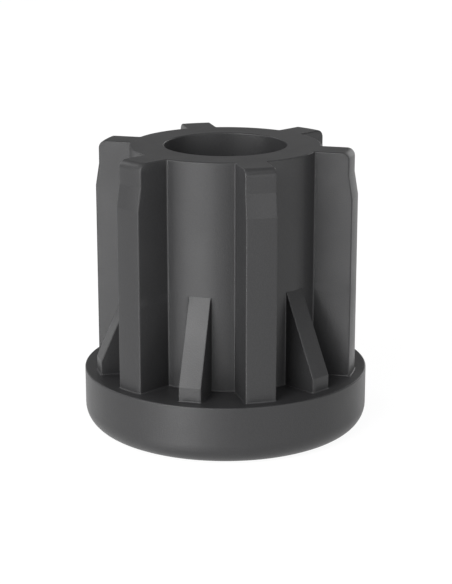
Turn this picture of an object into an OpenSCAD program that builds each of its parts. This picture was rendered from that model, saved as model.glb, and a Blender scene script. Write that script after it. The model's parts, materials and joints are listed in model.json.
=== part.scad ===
// Threaded tube insert: one moulding that is pressed into the end of a round tube, so that a
// screw can be fitted there. Sizes are in millimetres. The origin is at the middle of the
// flange's underside, which the insert stands on, and +Z runs along the thread into the tube.

/* [Tube] */
// Outer diameter of the round tube, which the flange matches
tube_od = 30; // [28:0.5:36]
// Wall thickness of the tube
tube_wall = 1.5; // [1:0.1:2]

/* [Flange] */
// Height of the flange, outside the tube
flange_h = 6.3; // [4:0.1:10]
// Radius of the large round at the flange's foot
foot_round = 2.3; // [0.5:0.1:3.5]

/* [Core] */
// Outer diameter of the core, which the ribs stand on
core_d = 19.9; // [17:0.1:21]
// Length from the flange to the inner end, inside the tube
insert_h = 23.7; // [18:0.1:40]

/* [Ribs] */
// Number of ribs, with a gusset between each two
rib_count = 6; // [4:1:8]
// Thickness of a rib
rib_w = 3.2; // [2:0.05:4]
// How far a rib stands past the tube's inner wall, before the insert is pressed in
rib_grip = 0.35; // [0.1:0.05:0.6]
// Length of the slimmer lead-in at a rib's inner end
lead_h = 2.4; // [1.5:0.1:4]
// Play of the lead-in in the tube, on each side
lead_play = 0.05; // [0:0.01:0.3]
// Length of the ramp from the lead-in out to the full rib
ramp_h = 2.4; // [1:0.1:4]
// Radius of the round on a rib's top corner
rib_round = 0.8; // [0.3:0.1:1.4]

/* [Gussets] */
// Thickness of a gusset
gusset_w = 2.35; // [1.5:0.05:3]
// How far a gusset's foot stands past the tube's inner wall
gusset_grip = 0.25; // [0:0.05:0.6]
// Height of the upright foot of a gusset above the flange
gusset_foot_h = 1.5; // [0.5:0.1:3]
// Height above the flange at which a gusset runs out into the core
gusset_h = 9.9; // [6:0.1:14]

/* [Thread and bore] */
// Nominal diameter of the screw thread
thread_d = 12; // [8:1:12]
// Pitch of the screw thread
thread_pitch = 1.75; // [1:0.25:2]
// Length of the thread, from the underside
thread_h = 18; // [12:0.5:22]
// Width of the chamfer past the nominal thread at its mouth, on each side
mouth_chamfer = 0.5; // [0.2:0.1:1]
// Room around the screw in the plain bore above the thread, on each side
screw_room = 0.4; // [0.2:0.05:0.6]

/* [Small edges] */
// Radius of the small rounds, and size of the bevels at the feet of the walls
edge_round = 0.15; // [0.1:0.05:0.3]

/* [Hidden] */
$fn = 96;

flange_r = tube_od / 2;
tube_bore_r = tube_od / 2 - tube_wall;
rib_r = tube_bore_r + rib_grip;
lead_r = tube_bore_r - lead_play;
gusset_r = tube_bore_r + gusset_grip;
core_r = core_d / 2;
total_h = flange_h + insert_h;
ramp_top = total_h - lead_h;
ramp_foot = ramp_top - ramp_h;

// An ISO thread's crest lies 5/8 of its sharp triangle's height inside the nominal diameter
crest_r = thread_d / 2 - 5 / 8 * thread_pitch * cos(30);
mouth_r = thread_d / 2 + mouth_chamfer;
plain_r = thread_d / 2 + screw_room;

// Ribs and gussets start this deep inside the core and the flange, as one moulding
root = 1;
// Cutters run this far past the surfaces that they open
past = 1;

// What is left between a square corner and the quarter circle that rounds it
module corner_off(r) {
    difference() {
        square(r);
        circle(r);
    }
}

module flange() {
    rotate_extrude() difference() {
        square([flange_r, flange_h]);
        translate([flange_r - foot_round, foot_round]) mirror([0, 1]) corner_off(foot_round);
        translate([flange_r - edge_round, flange_h - edge_round]) corner_off(edge_round);
    }
}

module core() {
    rotate_extrude() difference() {
        polygon([
            [0, 0],
            [core_r + edge_round, 0],
            [core_r + edge_round, flange_h],
            [core_r, flange_h + edge_round],
            [core_r, total_h],
            [0, total_h]
        ]);
        translate([core_r - edge_round, total_h - edge_round]) corner_off(edge_round);
    }
}

// The foot of a straight wall, from inside the core outwards: on the flange it is wider than the
// wall by a bevel on each side, and its top is just as wide as the wall
module wall_foot(thickness) {
    half = thickness / 2;
    foot = half + edge_round;
    translate([core_r - root, 0, flange_h]) rotate([90, 0, 90])
        linear_extrude(rib_r + past - core_r + root)
            polygon([
                [-foot, -root],
                [foot, -root],
                [foot, 0],
                [half, edge_round],
                [-half, edge_round],
                [-foot, 0]
            ]);
}

// Fills the corner between one side of a rib and the core, up to a concave round
module root_fillet() {
    round_y = rib_w / 2 + edge_round;
    round_x = sqrt(pow(core_r + edge_round, 2) - pow(round_y, 2));
    on_core = core_r / (core_r + edge_round);
    difference() {
        polygon([
            [core_r - root, 0],
            [round_x, 0],
            [round_x, round_y],
            [round_x * on_core, round_y * on_core]
        ]);
        translate([round_x, round_y]) circle(edge_round);
    }
}

module rib_section() {
    translate([core_r - root, -rib_w / 2]) square([rib_r + past - core_r + root, rib_w]);
    root_fillet();
    mirror([0, 1]) root_fillet();
}

// The turned form that all the ribs fill: full ribs with their foot, the ramp and the lead-in
module rib_envelope() {
    rotate_extrude() difference() {
        polygon([
            [0, flange_h - root],
            [rib_r + edge_round, flange_h - root],
            [rib_r + edge_round, flange_h],
            [rib_r, flange_h + edge_round],
            [rib_r, ramp_foot],
            [lead_r, ramp_top],
            [lead_r, total_h],
            [0, total_h]
        ]);
        translate([lead_r - rib_round, total_h - rib_round]) corner_off(rib_round);
    }
}

module ribs() {
    intersection() {
        rib_envelope();
        for (i = [0 : rib_count - 1]) rotate(i * 360 / rib_count) {
            translate([0, 0, flange_h - root]) linear_extrude(insert_h + root + past) rib_section();
            wall_foot(rib_w);
        }
    }
}

// A gusset as seen from its side. It is cut off level where the slope reaches the core's radius, so
// that its top edge is straight.
module gusset_side() {
    polygon([
        [core_r - root, flange_h - root],
        [gusset_r + edge_round, flange_h - root],
        [gusset_r + edge_round, flange_h],
        [gusset_r, flange_h + edge_round],
        [gusset_r, flange_h + gusset_foot_h],
        [core_r, flange_h + gusset_h],
        [core_r - root, flange_h + gusset_h]
    ]);
}

module gussets() {
    for (i = [0 : rib_count - 1]) rotate((i + 0.5) * 360 / rib_count) {
        rotate([90, 0, 0]) linear_extrude(gusset_w, center = true) gusset_side();
        intersection() {
            rotate([90, 0, 0]) linear_extrude(gusset_w + 2 * past, center = true) gusset_side();
            wall_foot(gusset_w);
        }
    }
}

// The thread's core hole with its chamfered mouth, and the plain bore above it
module bore() {
    rotate_extrude() {
        polygon([
            [0, -past],
            [mouth_r + past, -past],
            [crest_r, mouth_r - crest_r],
            [crest_r, thread_h],
            [plain_r, thread_h + plain_r - crest_r],
            [plain_r, total_h + past],
            [0, total_h + past]
        ]);
        translate([plain_r, total_h - edge_round]) difference() {
            square([edge_round, edge_round + past]);
            translate([edge_round, 0]) circle(edge_round);
        }
    }
}

module threaded_insert() {
    color("#2c2c2d") difference() {
        union() {
            flange();
            core();
            ribs();
            gussets();
        }
        bore();
    }
}

threaded_insert();
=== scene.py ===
import json
import math

import bmesh
import bpy
import numpy as np
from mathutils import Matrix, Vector

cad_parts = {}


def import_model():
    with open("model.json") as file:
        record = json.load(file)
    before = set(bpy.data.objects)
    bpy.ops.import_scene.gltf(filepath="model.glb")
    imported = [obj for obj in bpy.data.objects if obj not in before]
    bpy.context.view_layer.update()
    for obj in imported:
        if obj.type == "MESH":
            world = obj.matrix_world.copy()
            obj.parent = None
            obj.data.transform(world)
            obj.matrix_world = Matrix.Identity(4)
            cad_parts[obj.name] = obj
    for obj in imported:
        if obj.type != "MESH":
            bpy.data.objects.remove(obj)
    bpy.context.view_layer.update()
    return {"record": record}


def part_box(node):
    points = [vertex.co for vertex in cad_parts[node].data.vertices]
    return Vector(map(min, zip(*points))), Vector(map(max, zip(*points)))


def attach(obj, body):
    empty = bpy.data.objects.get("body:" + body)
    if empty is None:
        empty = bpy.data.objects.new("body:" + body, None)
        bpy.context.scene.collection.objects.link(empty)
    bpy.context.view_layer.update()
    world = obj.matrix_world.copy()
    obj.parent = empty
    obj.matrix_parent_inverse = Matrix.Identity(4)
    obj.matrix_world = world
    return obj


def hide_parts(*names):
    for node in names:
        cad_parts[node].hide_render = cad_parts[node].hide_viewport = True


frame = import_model()

# Sizes are in millimetres, as on the moulding's drawing, and are turned into metres at the end
MM = 0.001

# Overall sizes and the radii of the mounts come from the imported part
mount_r = {m["name"]: m["dims"]["r_mm"] for m in frame["record"]["mounts"] if "r_mm" in m["dims"]}
top_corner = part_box("threaded_insert")[1]
FLANGE_R = top_corner.x / MM
TOTAL_H = top_corner.z / MM
RIB_R = mount_r["tube_grip"]
PLAIN_R = mount_r["plain_bore"]
CREST_R = mount_r["thread"]

FLANGE_H = 6.3
FOOT_ROUND = 2.3
CORE_R = 9.95
RIB_COUNT = 6
RIB_W = 3.2
RIB_ROUND = 0.8
LEAD_R = 13.45
RAMP_TOP = TOTAL_H - 2.4
RAMP_FOOT = RAMP_TOP - 2.4
GUSSET_W = 2.35
GUSSET_R = 13.75
GUSSET_FOLD = FLANGE_H + 1.5
GUSSET_TOP = FLANGE_H + 9.9
THREAD_R = 6.0
PITCH = 1.75
MOUTH_R = THREAD_R + 0.5
THREAD_TOP = 18 + PLAIN_R - CREST_R
# Radius of the small rounds and fillets, and of the gussets' crisper corners
EDGE = 0.15
GUSSET_EDGE = 0.1

# Steps of the mesh between the middle of a rib and the middle of the next gusset
FACE_STEPS = 3
ROUND_STEPS = 4
SIDE_STEPS = 2
CORE_STEPS = 6
TIP_STEPS = 2
# Steps of the larger rounds, and of one turn of the thread on each of its faces
RIB_ROUND_STEPS = 8
FOOT_ROUND_STEPS = 12
CREST_STEPS = 2
FLANK_STEPS = 3
ROOT_STEPS = 2
# Rows this near to a crease keep it crisp under smooth shading
HOLD = 0.04
# The ring on the core just above the gussets is this much higher than the one round their tops
LEVEL = 0.002
# A gusset's fillet and corner each take at most this share of its depth, up to where it runs out
GUSSET_ROOM = 0.45
# Share of the gussets' slope, from its foot, over which its rows are wide apart
SLOPE_EVEN = 0.9
# Rings this near to the borders of a flat face, as shares of its width, keep its shading even
FLAT_HOLD = 0.03
# Points closer than this are one
SAME_POINT = 0.0001
# Faces that meet at more than this angle keep a crease
CREASE = math.radians(40)

# Where the camera stands round the insert, in degrees. The lamps' headings are counted from here
CAMERA_HEADING = -74.95


def quarter(steps):
    """Angles from 0 to a right angle."""
    return np.linspace(0, math.pi / 2, steps + 1)


def between(start, end, turn):
    """The unit vectors that turn from start to end, at the given shares of the way."""
    angle = math.acos(np.clip(np.dot(start, end), -1, 1))
    return [(math.sin((1 - t) * angle) * start + math.sin(t * angle) * end) / math.sin(angle) for t in turn]


def rib_half(z, corner_r, tilt, rolled, grow):
    """From the middle of a rib's face round its corner and along its side to the core.

    The corner's round is centred at corner_r and z. The face leans back by tilt. The round of
    the top edge has rolled over by that many steps, and the foot has grown outwards by grow.
    """
    radius = EDGE + grow
    centre_y = RIB_W / 2 - EDGE
    centre_x = math.sqrt(corner_r ** 2 - centre_y ** 2)
    centre = np.array([centre_x, centre_y, z])
    points = []
    for turn in np.linspace(0, math.atan2(centre_y, centre_x), FACE_STEPS + 1):
        across = np.array([math.cos(turn), math.sin(turn), 0])
        normal = across * math.cos(tilt) + np.array([0, 0, math.sin(tilt)])
        points.append(across * corner_r + np.array([0, 0, z]) + normal * radius)
    shares = [min(k, ROUND_STEPS - rolled) / ROUND_STEPS for k in range(1, ROUND_STEPS + 1)]
    points += [centre + radius * way for way in between(normal, np.array([0.0, 1.0, 0.0]), shares)]

    side_end = points[-1]
    fillet_y = RIB_W / 2 + EDGE
    fillet_x = math.sqrt((CORE_R + EDGE) ** 2 - fillet_y ** 2)
    fillet_r = fillet_y - side_end[1]
    for share in np.linspace(0, 1, SIDE_STEPS + 1)[1:-1]:
        points.append(side_end + share * np.array([fillet_x - side_end[0], 0, 0]))
    for turn in np.linspace(math.pi / 2, math.atan2(fillet_y, fillet_x), ROUND_STEPS + 1):
        points.append(np.array([
            fillet_x - fillet_r * math.cos(turn),
            fillet_y - fillet_r * math.sin(turn),
            side_end[2],
        ]))
    return np.array(points)


def gusset_half(z, grow):
    """From the core along a gusset's side and round its corner to the middle of its tip.

    The gusset lies along X here. Above its top, the points lie on the core.
    """
    half_w = GUSSET_W / 2
    if z > GUSSET_TOP:
        side = math.asin(half_w / CORE_R)
        angles = [side] * (2 * ROUND_STEPS + SIDE_STEPS + 1)
        angles += list(np.linspace(side, 0, TIP_STEPS + 1))[1:]
        return np.array([[(CORE_R + grow) * math.cos(a), (CORE_R + grow) * math.sin(a), z] for a in angles])
    tip = float(np.interp(z, [GUSSET_FOLD, GUSSET_TOP], [GUSSET_R, CORE_R]))
    room = GUSSET_ROOM * (tip - math.sqrt(CORE_R ** 2 - half_w ** 2))
    fillet = min(EDGE, room)
    edge = min(GUSSET_EDGE, room)
    fillet_y = half_w + fillet
    fillet_x = math.sqrt((CORE_R + fillet) ** 2 - fillet_y ** 2)
    fillet_r = fillet - grow
    corner_r = edge + grow
    corner_x = tip - edge
    corner_y = half_w - edge
    points = []
    for turn in np.linspace(math.atan2(fillet_y, fillet_x), math.pi / 2, ROUND_STEPS + 1):
        points.append([fillet_x - fillet_r * math.cos(turn), fillet_y - fillet_r * math.sin(turn)])
    for share in np.linspace(0, 1, SIDE_STEPS + 1)[1:-1]:
        points.append([fillet_x + share * (corner_x - fillet_x), half_w + grow])
    for turn in quarter(ROUND_STEPS):
        points.append([corner_x + corner_r * math.sin(turn), corner_y + corner_r * math.cos(turn)])
    for y in np.linspace(corner_y, 0, TIP_STEPS + 1)[1:]:
        points.append([tip + grow, y])
    return np.array([[x, y, z] for x, y in points])


def turned(points, angle):
    """The points turned round the Z axis."""
    c, s = math.cos(angle), math.sin(angle)
    return points @ np.array([[c, s, 0], [-s, c, 0], [0, 0, 1]])


def wall_ring(z, corner_r, tilt=0.0, rolled=0, grow=0.0):
    """One ring of points round all the ribs, the core and the gussets, closed by its first point."""
    rib = rib_half(z, corner_r, tilt, rolled, grow)
    core_z = rib[-1][2]
    core_r = math.hypot(rib[-1][0], rib[-1][1])
    half_step = math.pi / RIB_COUNT
    gusset = turned(gusset_half(core_z, core_r - CORE_R) * np.array([1, -1, 1]), half_step)
    angles = np.linspace(
        math.atan2(rib[-1][1], rib[-1][0]),
        math.atan2(gusset[0][1], gusset[0][0]),
        CORE_STEPS + 1,
    )[1:-1]
    core = np.array([[core_r * math.cos(a), core_r * math.sin(a), core_z] for a in angles])
    half = np.vstack([rib, core, gusset])
    other_half = turned(half * np.array([1, -1, 1]), 2 * half_step)[::-1]
    pitch_part = np.vstack([half[:-1], other_half[:-1]])
    ring = np.vstack([turned(pitch_part, 2 * half_step * i) for i in range(RIB_COUNT)])
    return np.vstack([ring, ring[:1]])


def rib_r_at(z):
    """Radius of a rib's face at a height: the full rib, the ramp or the lead-in."""
    return float(np.interp(z, [RAMP_FOOT, RAMP_TOP], [RIB_R, LEAD_R]))


def wall_rows():
    """The rings from the top edges down the ribs, the core and the gussets to the flange."""
    small = RIB_ROUND - EDGE
    rows = []
    for rolled in range(ROUND_STEPS, 0, -1):
        rows.append(wall_ring(TOTAL_H - EDGE, LEAD_R - RIB_ROUND, math.pi / 2, rolled))
    for tilt in quarter(RIB_ROUND_STEPS)[::-1]:
        corner_r = LEAD_R - RIB_ROUND + small * math.cos(tilt)
        rows.append(wall_ring(TOTAL_H - RIB_ROUND + small * math.sin(tilt), corner_r, tilt))
    run_out = GUSSET_FOLD + SLOPE_EVEN * (GUSSET_TOP - GUSSET_FOLD)
    heights = [RAMP_TOP + HOLD, RAMP_TOP, RAMP_TOP - HOLD]
    heights += [RAMP_FOOT + HOLD, RAMP_FOOT, RAMP_FOOT - HOLD]
    heights += list(np.linspace(RAMP_FOOT, GUSSET_TOP, 5))[1:-1]
    heights += [GUSSET_TOP + LEVEL]
    heights += list(np.linspace(GUSSET_TOP, run_out, 7))
    heights += list(np.linspace(run_out, GUSSET_FOLD, 5))[1:-1]
    heights += [GUSSET_FOLD + HOLD, GUSSET_FOLD, GUSSET_FOLD - HOLD]
    rows += [wall_ring(z, rib_r_at(z) - EDGE) for z in heights]
    for turn in quarter(ROUND_STEPS):
        grow = EDGE * (1 - math.cos(turn))
        rows.append(wall_ring(FLANGE_H + EDGE * (1 - math.sin(turn)), RIB_R - EDGE, grow=grow))
    return rows


def round_ring(angles, radius, z):
    return np.column_stack([radius * np.cos(angles), radius * np.sin(angles), np.full(len(angles), z)])


def flange_rows(angles):
    """The rings over the flange's rim, down its side and round its foot to the thread's mouth."""
    rows = []
    for turn in quarter(ROUND_STEPS):
        rim_r = FLANGE_R - EDGE + EDGE * math.sin(turn)
        rows.append(round_ring(angles, rim_r, FLANGE_H - EDGE + EDGE * math.cos(turn)))
    for turn in quarter(FOOT_ROUND_STEPS):
        foot_r = FLANGE_R - FOOT_ROUND + FOOT_ROUND * math.cos(turn)
        rows.append(round_ring(angles, foot_r, FOOT_ROUND - FOOT_ROUND * math.sin(turn)))
    rows.append(round_ring(angles, MOUTH_R, 0))
    return rows


def thread_rows(angles):
    """The helical rings of the right-hand thread, from its chamfered mouth to its run-out."""
    # Shares of one pitch: the flat crest, each flank of the 60 degree profile and the flat root
    crest = 1 / 4
    flank = (THREAD_R - CREST_R) * math.tan(math.radians(30)) / PITCH
    root = 1 - crest - 2 * flank
    lengths = [crest / CREST_STEPS] * CREST_STEPS
    lengths += [flank / FLANK_STEPS] * FLANK_STEPS
    lengths += [root / ROOT_STEPS] * ROOT_STEPS
    lengths += [flank / FLANK_STEPS] * FLANK_STEPS
    phases = np.concatenate([[0], np.cumsum(lengths)[:-1]])
    corners = [0, crest, crest + flank, 1 - flank, 1]
    radii = np.interp(phases, corners, [CREST_R, CREST_R, THREAD_R, THREAD_R, CREST_R])
    rows = []
    for turn in range(-1, math.ceil(THREAD_TOP / PITCH) + 1):
        for phase, radius in zip(phases, radii):
            z = np.clip(PITCH * (turn + phase + angles / (2 * math.pi)), 0, THREAD_TOP)
            r = np.maximum(radius, np.maximum(MOUTH_R - z, PLAIN_R - (THREAD_TOP - z)))
            rows.append(np.column_stack([r * np.cos(angles), r * np.sin(angles), z]))
    return rows


def bore_rows(angles):
    """The rings up the plain bore and over its rounded edge to the top."""
    rows = [round_ring(angles, PLAIN_R, z) for z in np.linspace(THREAD_TOP, TOTAL_H - EDGE, 4)[:-1]]
    for turn in quarter(ROUND_STEPS):
        edge_r = PLAIN_R + EDGE - EDGE * math.cos(turn)
        rows.append(round_ring(angles, edge_r, TOTAL_H - EDGE + EDGE * math.sin(turn)))
    return rows


def flat_rows(start, end):
    """Two rings close to the borders of a flat face."""
    return [start + share * (end - start) for share in (FLAT_HOLD, 1 - FLAT_HOLD)]


def insert_moulding():
    """The whole insert as one closed mesh: each ring of points is joined to the next."""
    walls = wall_rows()
    columns = len(walls[0])
    angles = np.linspace(0, 2 * math.pi, columns)
    flange = flange_rows(angles)
    bore = bore_rows(angles)
    rows = walls + flat_rows(walls[-1], flange[0]) + flange
    rows += thread_rows(angles) + bore + flat_rows(bore[-1], walls[0]) + [walls[0]]
    points = np.vstack(rows) * MM
    faces = []
    for row in range(len(rows) - 1):
        for column in range(columns - 1):
            a = row * columns + column
            faces.append((a, a + columns, a + columns + 1, a + 1))
    mesh = bpy.data.meshes.new("insert_moulding")
    mesh.from_pydata(points.tolist(), [], faces)
    shape = bmesh.new()
    shape.from_mesh(mesh)
    bmesh.ops.remove_doubles(shape, verts=shape.verts, dist=SAME_POINT * MM)
    bmesh.ops.recalc_face_normals(shape, faces=shape.faces)
    shape.to_mesh(mesh)
    shape.free()
    mesh.polygons.foreach_set("use_smooth", [True] * len(mesh.polygons))
    mesh.set_sharp_from_angle(angle=CREASE)
    piece = bpy.data.objects.new("insert_moulding", mesh)
    bpy.context.scene.collection.objects.link(piece)
    normals = piece.modifiers.new("even_shading", "WEIGHTED_NORMAL")
    normals.keep_sharp = True
    return piece


def mould_grain_group():
    """The fine grain that a spark-eroded mould leaves on plastic: colour, roughness and height."""
    group = bpy.data.node_groups.new("mould_grain", "ShaderNodeTree")
    sockets = group.interface
    sockets.new_socket(name="Plastic", in_out="INPUT", socket_type="NodeSocketColor")
    sockets.new_socket(name="Grain per metre", in_out="INPUT", socket_type="NodeSocketFloat")
    sockets.new_socket(name="Roughness", in_out="INPUT", socket_type="NodeSocketFloat")
    sockets.new_socket(name="Colour", in_out="OUTPUT", socket_type="NodeSocketColor")
    sockets.new_socket(name="Roughness", in_out="OUTPUT", socket_type="NodeSocketFloat")
    sockets.new_socket(name="Height", in_out="OUTPUT", socket_type="NodeSocketFloat")
    nodes, links = group.nodes, group.links
    given = nodes.new("NodeGroupInput")
    result = nodes.new("NodeGroupOutput")
    place = nodes.new("ShaderNodeTexCoord")
    grain = nodes.new("ShaderNodeTexNoise")
    grain.inputs["Detail"].default_value = 3
    grain.inputs["Roughness"].default_value = 0.6
    links.new(place.outputs["Object"], grain.inputs["Vector"])
    links.new(given.outputs["Grain per metre"], grain.inputs["Scale"])
    cloud = nodes.new("ShaderNodeTexNoise")
    cloud.inputs["Scale"].default_value = 180
    cloud.inputs["Detail"].default_value = 2
    links.new(place.outputs["Object"], cloud.inputs["Vector"])

    shade = nodes.new("ShaderNodeMapRange")
    shade.inputs["From Min"].default_value = 0.3
    shade.inputs["From Max"].default_value = 0.7
    shade.inputs["To Min"].default_value = 0.85
    shade.inputs["To Max"].default_value = 1.15
    links.new(grain.outputs["Fac"], shade.inputs["Value"])
    colour = nodes.new("ShaderNodeVectorMath")
    colour.operation = "SCALE"
    links.new(given.outputs["Plastic"], colour.inputs[0])
    links.new(shade.outputs["Result"], colour.inputs["Scale"])
    links.new(colour.outputs["Vector"], result.inputs["Colour"])

    gloss = nodes.new("ShaderNodeMapRange")
    gloss.inputs["From Min"].default_value = 0.3
    gloss.inputs["From Max"].default_value = 0.7
    gloss.inputs["To Min"].default_value = -0.04
    gloss.inputs["To Max"].default_value = 0.04
    links.new(cloud.outputs["Fac"], gloss.inputs["Value"])
    rough = nodes.new("ShaderNodeMath")
    rough.operation = "ADD"
    links.new(given.outputs["Roughness"], rough.inputs[0])
    links.new(gloss.outputs["Result"], rough.inputs[1])
    links.new(rough.outputs["Value"], result.inputs["Roughness"])
    links.new(grain.outputs["Fac"], result.inputs["Height"])
    return group


def moulded_plastic():
    """Dark grey plastic with a fine matt grain."""
    material = bpy.data.materials.new("grained_plastic")
    material.use_nodes = True
    nodes, links = material.node_tree.nodes, material.node_tree.links
    shader = nodes["Principled BSDF"]
    # A little under solid plastic's 1.5, as the grain scatters some of the gloss
    shader.inputs["IOR"].default_value = 1.45
    grain = nodes.new("ShaderNodeGroup")
    grain.node_tree = mould_grain_group()
    grain.inputs["Plastic"].default_value = (0.025, 0.025, 0.026, 1)
    grain.inputs["Grain per metre"].default_value = 7500
    grain.inputs["Roughness"].default_value = 0.42
    bump = nodes.new("ShaderNodeBump")
    bump.inputs["Distance"].default_value = 0.018 * MM
    bump.inputs["Strength"].default_value = 1
    links.new(grain.outputs["Height"], bump.inputs["Height"])
    links.new(bump.outputs["Normal"], shader.inputs["Normal"])
    links.new(grain.outputs["Colour"], shader.inputs["Base Color"])
    links.new(grain.outputs["Roughness"], shader.inputs["Roughness"])
    return material


def camera():
    """The photograph's view: its direction, distance and framing, fitted to the edges of the insert."""
    image_h = 584
    focal_px = 1721.0
    distance = 182.64 * MM
    elevation = math.radians(15.716)
    heading = math.radians(CAMERA_HEADING)
    target = Vector((0, 0, 14.056 * MM))
    away = Vector((
        math.cos(elevation) * math.cos(heading),
        math.cos(elevation) * math.sin(heading),
        math.sin(elevation),
    ))
    data = bpy.data.cameras.new("camera")
    data.sensor_fit = "VERTICAL"
    data.sensor_height = 36
    data.lens = focal_px / image_h * data.sensor_height
    data.shift_x = 0.514 / image_h
    data.clip_start = 0.01
    eye = bpy.data.objects.new("camera", data)
    eye.location = target + away * distance
    eye.rotation_euler = (-away).to_track_quat("-Z", "Y").to_euler()
    bpy.context.scene.collection.objects.link(eye)
    bpy.context.scene.camera = eye


def seen_as_background(nodes, links):
    """1 where the camera looks at a surface, straight, in a reflection or through something clear."""
    path = nodes.new("ShaderNodeLightPath")
    mirrored = nodes.new("ShaderNodeMath")
    mirrored.operation = "MAXIMUM"
    links.new(path.outputs["Is Camera Ray"], mirrored.inputs[0])
    links.new(path.outputs["Is Glossy Ray"], mirrored.inputs[1])
    any_way = nodes.new("ShaderNodeMath")
    any_way.operation = "MAXIMUM"
    links.new(mirrored.outputs["Value"], any_way.inputs[0])
    links.new(path.outputs["Is Transmission Ray"], any_way.inputs[1])
    return any_way.outputs["Value"]


def floor():
    """A pale floor that fills the view in white, and keeps the insert's faint shadow. It stands
    for a shooting table that lets light through, so the low lamps shine past it on the insert."""
    mesh = bpy.data.meshes.new("floor")
    # In metres, so that the floor fills each view from 11 degrees or more above it
    reach = 10
    corners = [(-reach, -reach, 0), (reach, -reach, 0), (reach, reach, 0), (-reach, reach, 0)]
    mesh.from_pydata(corners, [], [(0, 1, 2, 3)])
    ground = bpy.data.objects.new("floor", mesh)
    ground.visible_diffuse = False
    ground.visible_shadow = False
    bpy.context.scene.collection.objects.link(ground)
    material = bpy.data.materials.new("white_floor")
    material.use_nodes = True
    nodes, links = material.node_tree.nodes, material.node_tree.links
    nodes.remove(nodes["Principled BSDF"])
    matt = nodes.new("ShaderNodeBsdfDiffuse")
    matt.inputs["Color"].default_value = (0.8, 0.8, 0.8, 1)
    white = nodes.new("ShaderNodeEmission")
    white.inputs["Strength"].default_value = 1.1
    # The rest of the floor's colour is matt, which shows the shadow
    share = nodes.new("ShaderNodeMath")
    share.operation = "MULTIPLY"
    share.inputs[1].default_value = 0.85
    links.new(seen_as_background(nodes, links), share.inputs[0])
    mix = nodes.new("ShaderNodeMixShader")
    links.new(share.outputs["Value"], mix.inputs["Fac"])
    links.new(matt.outputs["BSDF"], mix.inputs[1])
    links.new(white.outputs["Emission"], mix.inputs[2])
    links.new(mix.outputs["Shader"], nodes["Material Output"].inputs["Surface"])
    mesh.materials.append(material)


def world():
    """Plain even light from all round."""
    surroundings = bpy.data.worlds.new("studio")
    bpy.context.scene.world = surroundings
    surroundings.use_nodes = True
    background = surroundings.node_tree.nodes["Background"]
    background.inputs["Color"].default_value = (1, 1, 1, 1)
    background.inputs["Strength"].default_value = 0.3
    # Found only by rays that end in it, so that a reflection towards the floor never shows it
    surroundings.cycles.sampling_method = "NONE"


# Name, heading from the camera's side (to the right is positive), elevation and watts
LAMPS = [
    ("key", -30, 33, 2.55),
    ("left", -60, 10, 1.15),
    ("low_left", -30, -12, 1.1),
    ("back_left", -120, 33, 0.7),
    ("right", 30, 10, 0.6),
    ("far_right", 60, 10, 0.5),
    ("back_right", 150, 10, 0.45),
    ("high_right", 60, 60, 0.35),
    ("under_left", -45, -35, 0.5),
]


def soft_lamp(name, heading, elevation, watts, distance=0.6, size=0.28):
    """A square softbox that looks at the insert's middle from a distance in metres."""
    data = bpy.data.lights.new(name, "AREA")
    data.shape = "SQUARE"
    data.size = size
    data.energy = watts
    # Reflections see the floor in front of a lamp below it, so they don't look for such a lamp
    data.cycles.use_multiple_importance_sampling = elevation > 0
    lamp = bpy.data.objects.new(name, data)
    turn = math.radians(heading + CAMERA_HEADING)
    lift = math.radians(elevation)
    way = Vector((math.cos(lift) * math.cos(turn), math.cos(lift) * math.sin(turn), math.sin(lift)))
    lamp.location = Vector((0, 0, TOTAL_H / 2 * MM)) + way * distance
    lamp.rotation_euler = (-way).to_track_quat("-Z", "Y").to_euler()
    bpy.context.scene.collection.objects.link(lamp)
    return lamp


bpy.context.scene.view_settings.view_transform = "Standard"
camera()
floor()
world()
for lamp in LAMPS:
    soft_lamp(*lamp)

moulding = insert_moulding()
moulding.data.materials.append(moulded_plastic())
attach(moulding, "root")
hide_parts("threaded_insert")
